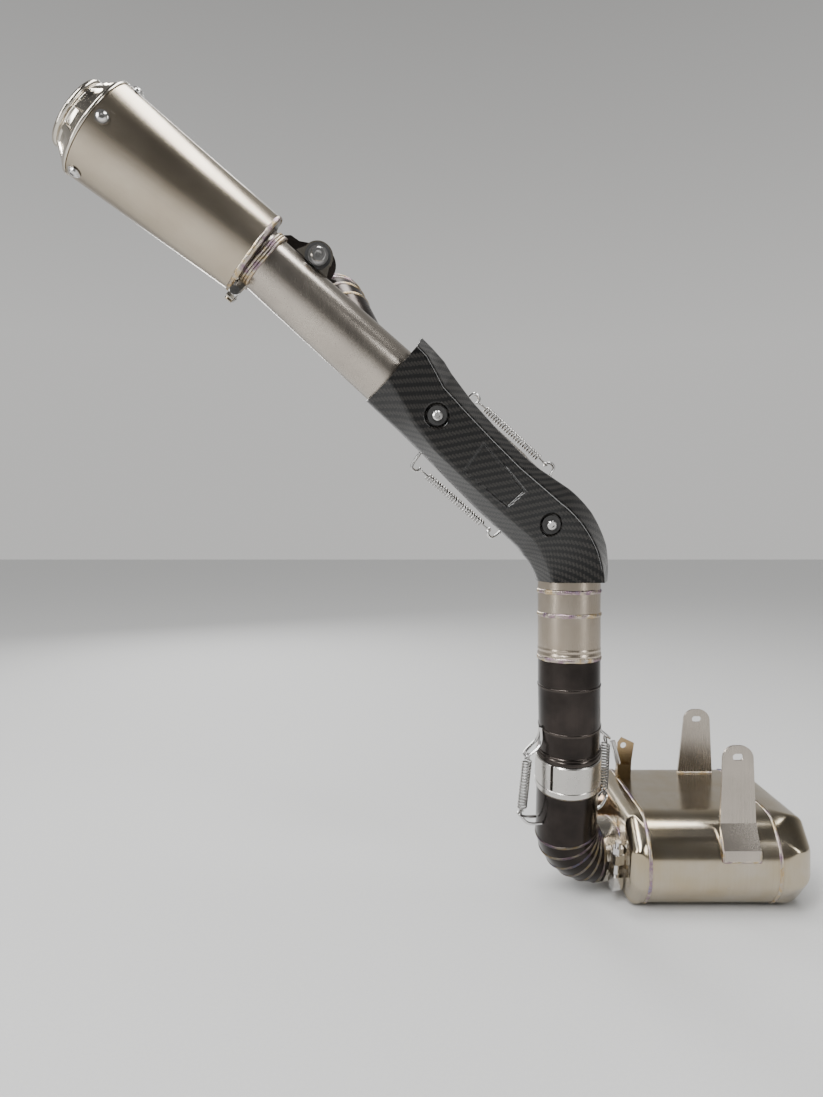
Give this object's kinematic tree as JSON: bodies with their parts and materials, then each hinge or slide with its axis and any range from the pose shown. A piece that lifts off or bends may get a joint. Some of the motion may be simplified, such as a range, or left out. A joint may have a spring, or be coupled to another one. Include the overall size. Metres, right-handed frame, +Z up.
{
  "type": "racing exhaust system",
  "caption": "Titanium racing exhaust: collector box, spring-held slip-jointed pipes, carbon heat shield and a tapered round silencer.",
  "frame": {"origin": "centre of the collector inlet's mouth, where the header pipe goes in", "axes": "-X out of the inlet's mouth, +X into the collector box, +Z up to the silencer, -Y to the outer side, where the link pipe and silencer stand off"},
  "size_m": [0.6713, 0.3516, 0.7312],
  "materials": {
    "ti": "satin brushed titanium",
    "ti_dark": "dark titanium",
    "polished": "polished",
    "machined": "turned",
    "tinted": "heat tinted",
    "carbon": "clear-coated twill",
    "spring": "bright wire",
    "rubber": "matt",
    "wool": "felted",
    "fastener": "bright"
  },
  "bodies": {
    "collector": {"collector_shell": "ti", "collector_left_cap": "tinted", "collector_right_cap": "ti", "inlet_stub": "tinted", "outlet_stub": "ti", "collector_baffle": "ti", "collector_inlet_core": "ti", "collector_outlet_core": "ti", "near_tab": "ti", "far_tab": "ti", "outlet_clamp_band": "polished", "inlet_clamp_band": "polished", "clamp_blocks": "machined", "clamp_t_bolts": "fastener", "clamp_nuts": "fastener", "inlet_bracket_plate": "tinted", "bracket_stud": "fastener", "lower_elbow": "ti_dark", "lower_collar": "machined", "elbow_spring_hooks": "fastener"},
    "middle": {"lower_spigot": "ti_dark", "middle_leaning_pipe": "ti_dark", "middle_sleeve": "ti", "middle_neck": "ti", "middle_bend": "ti", "upper_socket": "ti", "collar_spring_hooks": "fastener", "bend_spring_hooks": "fastener", "heat_shield": "carbon", "shield_screws": "fastener", "shield_washers": "rubber", "shield_bosses": "ti", "lower_spring_left": "spring", "lower_spring_right": "spring", "upper_spring_left": "spring", "upper_spring_right": "spring"},
    "link": {"link_tube": "ti", "link_spring_hooks": "fastener", "branch_elbow": "ti_dark", "branch_rim": "ti", "hanger_tab": "polished", "hanger_bush": "rubber", "hanger_sleeve": "machined", "hanger_washer": "fastener", "hanger_bolt": "fastener", "hanger_spacer": "machined", "hanger_plate": "ti_dark", "hanger_nut": "fastener"},
    "silencer": {"silencer_sleeve": "ti", "silencer_inlet_cap": "ti", "silencer_spigot": "ti", "silencer_outlet_cap": "polished", "silencer_outlet_ring": "polished", "silencer_core": "ti", "silencer_packing": "wool", "silencer_cap_screws": "fastener", "silencer_cap_washers": "fastener", "silencer_clamp_band": "polished", "silencer_clamp_bolt": "fastener", "silencer_clamp_nut": "fastener"}
  },
  "joints": [
    {"name": "lower_swivel", "type": "hinge", "parent": "collector", "child": "middle", "pos_m": [-0.01832, -0.10573, 0.08266], "axis": [-0.0136, -0.2553, 0.9668], "range_deg": [-5, 5], "deforming": ["lower_spring_left", "lower_spring_right"]},
    {"name": "upper_slip", "type": "slide", "parent": "middle", "child": "link", "axis": [-0.7378, -0.2197, 0.6383], "range_m": [0, 0.008], "stiffness_N_per_m": 8000, "springref_m": -0.01, "deforming": ["upper_spring_left", "upper_spring_right"]},
    {"name": "silencer_swivel", "type": "hinge", "parent": "link", "child": "silencer", "pos_m": [-0.2992, -0.208, 0.5525], "axis": [-0.7378, -0.2197, 0.6383], "range_deg": [-15, 15]}
  ]
}
